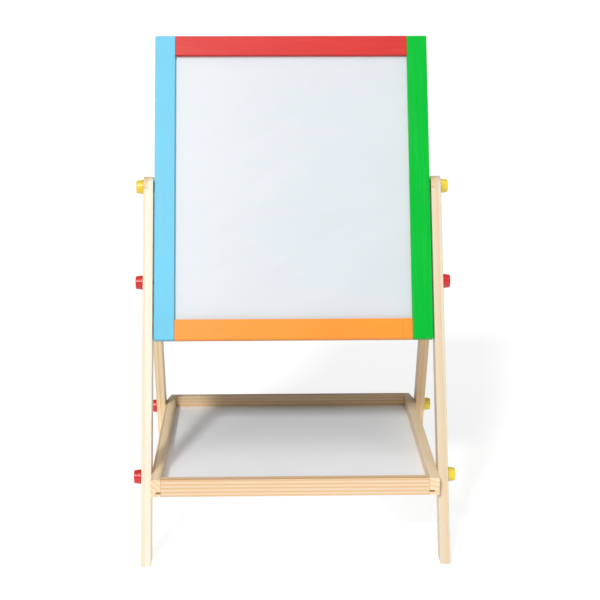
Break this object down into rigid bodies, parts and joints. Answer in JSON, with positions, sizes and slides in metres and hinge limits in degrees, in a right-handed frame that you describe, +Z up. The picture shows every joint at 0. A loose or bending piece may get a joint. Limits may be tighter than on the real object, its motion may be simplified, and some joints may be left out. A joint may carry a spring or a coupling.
{
  "type": "kids easel",
  "caption": "Child's A-frame wooden easel: a framed whiteboard and chalkboard turn on knob bolts between crossed legs above a shallow floor tray.",
  "frame": {"origin": "on the floor, midway between the four feet and straight below the board's pivot", "axes": "+X to the right seen from the front, +Y to the back, +Z up"},
  "size_m": [0.3848, 0.3838, 0.6005],
  "materials": {
    "paint_blue": "satin sky-blue paint on wood",
    "paint_green": "satin green paint on wood",
    "paint_red": "satin red paint on wood",
    "paint_orange": "satin orange paint on wood",
    "whiteboard": "glossy dry-wipe surface",
    "chalkboard": "matt black chalk surface",
    "dowel_wood": "plain beech dowel",
    "insert_metal": "plain threaded insert",
    "washer_plastic": "dark nylon spacer",
    "pine": "clear-lacquered pine",
    "tray_pine": "clear-lacquered pine with strong grain",
    "tray_white": "white-faced thin hardboard",
    "knob_yellow": "glossy yellow plastic",
    "knob_red": "glossy red plastic",
    "bolt_steel": "zinc-plated steel"
  },
  "bodies": {
    "stand": {"clamp_inserts": "insert_metal", "front_leg_left": "pine", "front_leg_right": "pine", "pivot_washers": "washer_plastic", "rear_leg_left": "pine", "rear_leg_right": "pine", "tray_dowels": "dowel_wood", "tray_inserts": "insert_metal", "tray_panel": "tray_white", "tray_rail_front": "tray_pine", "tray_rail_rear": "tray_pine", "tray_side_left": "tray_pine", "tray_side_right": "tray_pine"},
    "board": {"stile_left": "paint_blue", "stile_right": "paint_green", "rail_top": "paint_red", "rail_bottom": "paint_orange", "whiteboard_panel": "whiteboard", "chalkboard_panel": "chalkboard", "frame_dowels": "dowel_wood", "pivot_inserts": "insert_metal"},
    "knob_pivot_left": {"knob_pivot_left": "knob_yellow", "bolt_pivot_left": "bolt_steel"},
    "knob_pivot_right": {"knob_pivot_right": "knob_yellow", "bolt_pivot_right": "bolt_steel"},
    "knob_clamp_left": {"knob_clamp_left": "knob_red", "bolt_clamp_left": "bolt_steel"},
    "knob_clamp_right": {"knob_clamp_right": "knob_red", "bolt_clamp_right": "bolt_steel"},
    "knob_tray_front_left": {"knob_tray_front_left": "knob_red", "bolt_tray_front_left": "bolt_steel"},
    "knob_tray_front_right": {"knob_tray_front_right": "knob_yellow", "bolt_tray_front_right": "bolt_steel"},
    "knob_tray_rear_left": {"knob_tray_rear_left": "knob_red", "bolt_tray_rear_left": "bolt_steel"},
    "knob_tray_rear_right": {"knob_tray_rear_right": "knob_yellow", "bolt_tray_rear_right": "bolt_steel"}
  },
  "joints": [
    {"name": "board_turn", "type": "hinge", "parent": "stand", "child": "board", "pos_m": [0, 0, 0.42113], "axis": [1, 0, 0], "range_deg": [-180, 180]},
    {"name": "knob_pivot_left_turn", "type": "hinge", "parent": "stand", "child": "knob_pivot_left", "pos_m": [-0.1832, 0, 0.42113], "axis": [-1, 0, 0], "continuous": true},
    {"name": "knob_pivot_right_turn", "type": "hinge", "parent": "stand", "child": "knob_pivot_right", "pos_m": [0.1832, 0, 0.42113], "axis": [1, 0, 0], "continuous": true},
    {"name": "knob_clamp_left_turn", "type": "hinge", "parent": "stand", "child": "knob_clamp_left", "pos_m": [-0.1832, -0.04689, 0.31067], "axis": [-1, 0, 0], "continuous": true},
    {"name": "knob_clamp_right_turn", "type": "hinge", "parent": "stand", "child": "knob_clamp_right", "pos_m": [0.1832, -0.04689, 0.31067], "axis": [1, 0, 0], "continuous": true},
    {"name": "knob_tray_front_left_turn", "type": "hinge", "parent": "stand", "child": "knob_tray_front_left", "pos_m": [-0.1832, -0.1391, 0.09343], "axis": [-1, 0, 0], "continuous": true},
    {"name": "knob_tray_front_right_turn", "type": "hinge", "parent": "stand", "child": "knob_tray_front_right", "pos_m": [0.1832, -0.1391, 0.09343], "axis": [1, 0, 0], "continuous": true},
    {"name": "knob_tray_rear_left_turn", "type": "hinge", "parent": "stand", "child": "knob_tray_rear_left", "pos_m": [-0.1832, 0.1391, 0.09343], "axis": [-1, 0, 0], "continuous": true},
    {"name": "knob_tray_rear_right_turn", "type": "hinge", "parent": "stand", "child": "knob_tray_rear_right", "pos_m": [0.1832, 0.1391, 0.09343], "axis": [1, 0, 0], "continuous": true}
  ]
}
